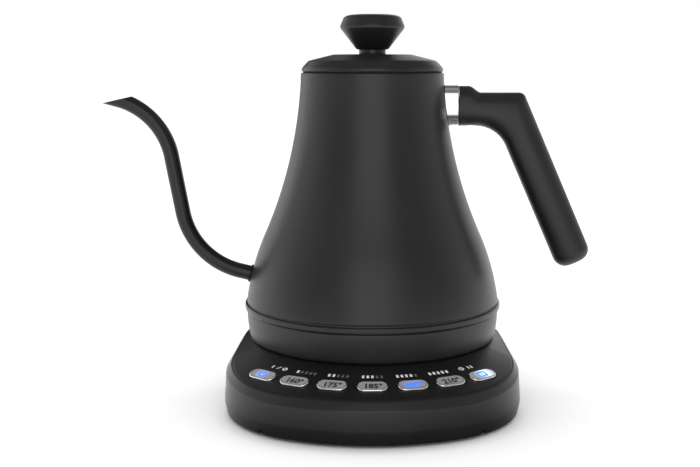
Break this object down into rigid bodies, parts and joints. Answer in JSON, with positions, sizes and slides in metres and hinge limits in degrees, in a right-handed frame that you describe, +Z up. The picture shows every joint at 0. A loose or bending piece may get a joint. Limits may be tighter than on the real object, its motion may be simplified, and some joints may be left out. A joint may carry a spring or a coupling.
{
  "type": "gooseneck kettle",
  "caption": "Electric gooseneck kettle with a conical knob on its lid and an angled handle, standing on a power base whose sloping panel carries a curved row of push buttons.",
  "frame": {"origin": "the kettle's vertical axis, on the surface that the power base stands on", "axes": "+Z up, +X towards the handle and away from the spout, +Y towards the back, so that the button panel faces -Y"},
  "size_m": [0.2926, 0.1954, 0.2269],
  "materials": {
    "black_paint": "satin",
    "black_plastic": "satin",
    "panel_plastic": "matte",
    "grip_plastic": "soft-touch matte",
    "trim_black": "semi-gloss",
    "polished_steel": "polished",
    "inner_steel": "brushed",
    "cap_silver": "satin silver",
    "silicone_seal": "matte",
    "foot_rubber": "matte",
    "screw_steel": "satin",
    "contact_brass": "satin",
    "element_alloy": "satin",
    "board_green": "solder mask",
    "part_dark": "semi-gloss",
    "relay_blue": "semi-gloss",
    "lamp_clear": "clear"
  },
  "bodies": {
    "power_base": {"base_top_cover": "panel_plastic", "base_housing": "black_plastic", "base_bottom_plate": "black_plastic", "base_feet": "foot_rubber", "base_screws": "screw_steel", "connector_post": "black_plastic", "post_contacts": "contact_brass", "cord_inlet_grommet": "foot_rubber", "control_board": "board_green", "key_switches": "part_dark", "indicator_lights": "lamp_clear", "buzzer": "part_dark", "power_board": "board_green", "power_relay": "relay_blue", "board_screws": "screw_steel"},
    "swivel_socket": {"connector_socket": "black_plastic", "socket_contacts": "contact_brass"},
    "kettle": {"kettle_body": "black_paint", "body_trim_ring": "trim_black", "bottom_skirt": "black_plastic", "heating_plate": "inner_steel", "heating_element": "element_alloy", "boil_dry_cutout": "part_dark", "temperature_probe": "inner_steel", "probe_seal": "silicone_seal", "kettle_bottom_cover": "black_plastic", "bottom_cover_screws": "screw_steel", "spout_tube": "black_paint", "spout_collar": "trim_black", "handle_bracket": "polished_steel", "handle_grip": "grip_plastic", "handle_screw": "screw_steel"},
    "lid": {"lid_shell": "black_paint", "lid_pan": "inner_steel", "lid_seal": "silicone_seal", "knob_neck": "trim_black", "lid_knob": "black_paint", "knob_screw": "screw_steel"},
    "power_button_body": {"power_button": "cap_silver"},
    "preset_button_1_body": {"preset_button_1": "cap_silver"},
    "preset_button_2_body": {"preset_button_2": "cap_silver"},
    "preset_button_3_body": {"preset_button_3": "cap_silver"},
    "preset_button_4_body": {"preset_button_4": "cap_silver"},
    "preset_button_5_body": {"preset_button_5": "cap_silver"},
    "hold_button_body": {"hold_button": "cap_silver"}
  },
  "joints": [
    {"name": "kettle_lift", "type": "slide", "parent": "power_base", "child": "swivel_socket", "axis": [0, 0, 1], "range_m": [0, 0.12]},
    {"name": "kettle_swivel", "type": "hinge", "parent": "swivel_socket", "child": "kettle", "pos_m": [0, 0, 0.04], "axis": [0, 0, 1], "continuous": true},
    {"name": "lid_lift", "type": "slide", "parent": "kettle", "child": "lid", "axis": [0, 0, 1], "range_m": [0, 0.06]},
    {"name": "power_press", "type": "slide", "parent": "power_base", "child": "power_button_body", "axis": [0, 0, -1], "range_m": [0, 0.0006], "stiffness_N_per_m": 300, "springref_m": -0.001},
    {"name": "preset_press_1", "type": "slide", "parent": "power_base", "child": "preset_button_1_body", "axis": [0, 0, -1], "range_m": [0, 0.0006], "stiffness_N_per_m": 300, "springref_m": -0.001},
    {"name": "preset_press_2", "type": "slide", "parent": "power_base", "child": "preset_button_2_body", "axis": [0, 0, -1], "range_m": [0, 0.0006], "stiffness_N_per_m": 300, "springref_m": -0.001},
    {"name": "preset_press_3", "type": "slide", "parent": "power_base", "child": "preset_button_3_body", "axis": [0, 0, -1], "range_m": [0, 0.0006], "stiffness_N_per_m": 300, "springref_m": -0.001},
    {"name": "preset_press_4", "type": "slide", "parent": "power_base", "child": "preset_button_4_body", "axis": [0, 0, -1], "range_m": [0, 0.0006], "stiffness_N_per_m": 300, "springref_m": -0.001},
    {"name": "preset_press_5", "type": "slide", "parent": "power_base", "child": "preset_button_5_body", "axis": [0, 0, -1], "range_m": [0, 0.0006], "stiffness_N_per_m": 300, "springref_m": -0.001},
    {"name": "hold_press", "type": "slide", "parent": "power_base", "child": "hold_button_body", "axis": [0, 0, -1], "range_m": [0, 0.0006], "stiffness_N_per_m": 300, "springref_m": -0.001}
  ]
}
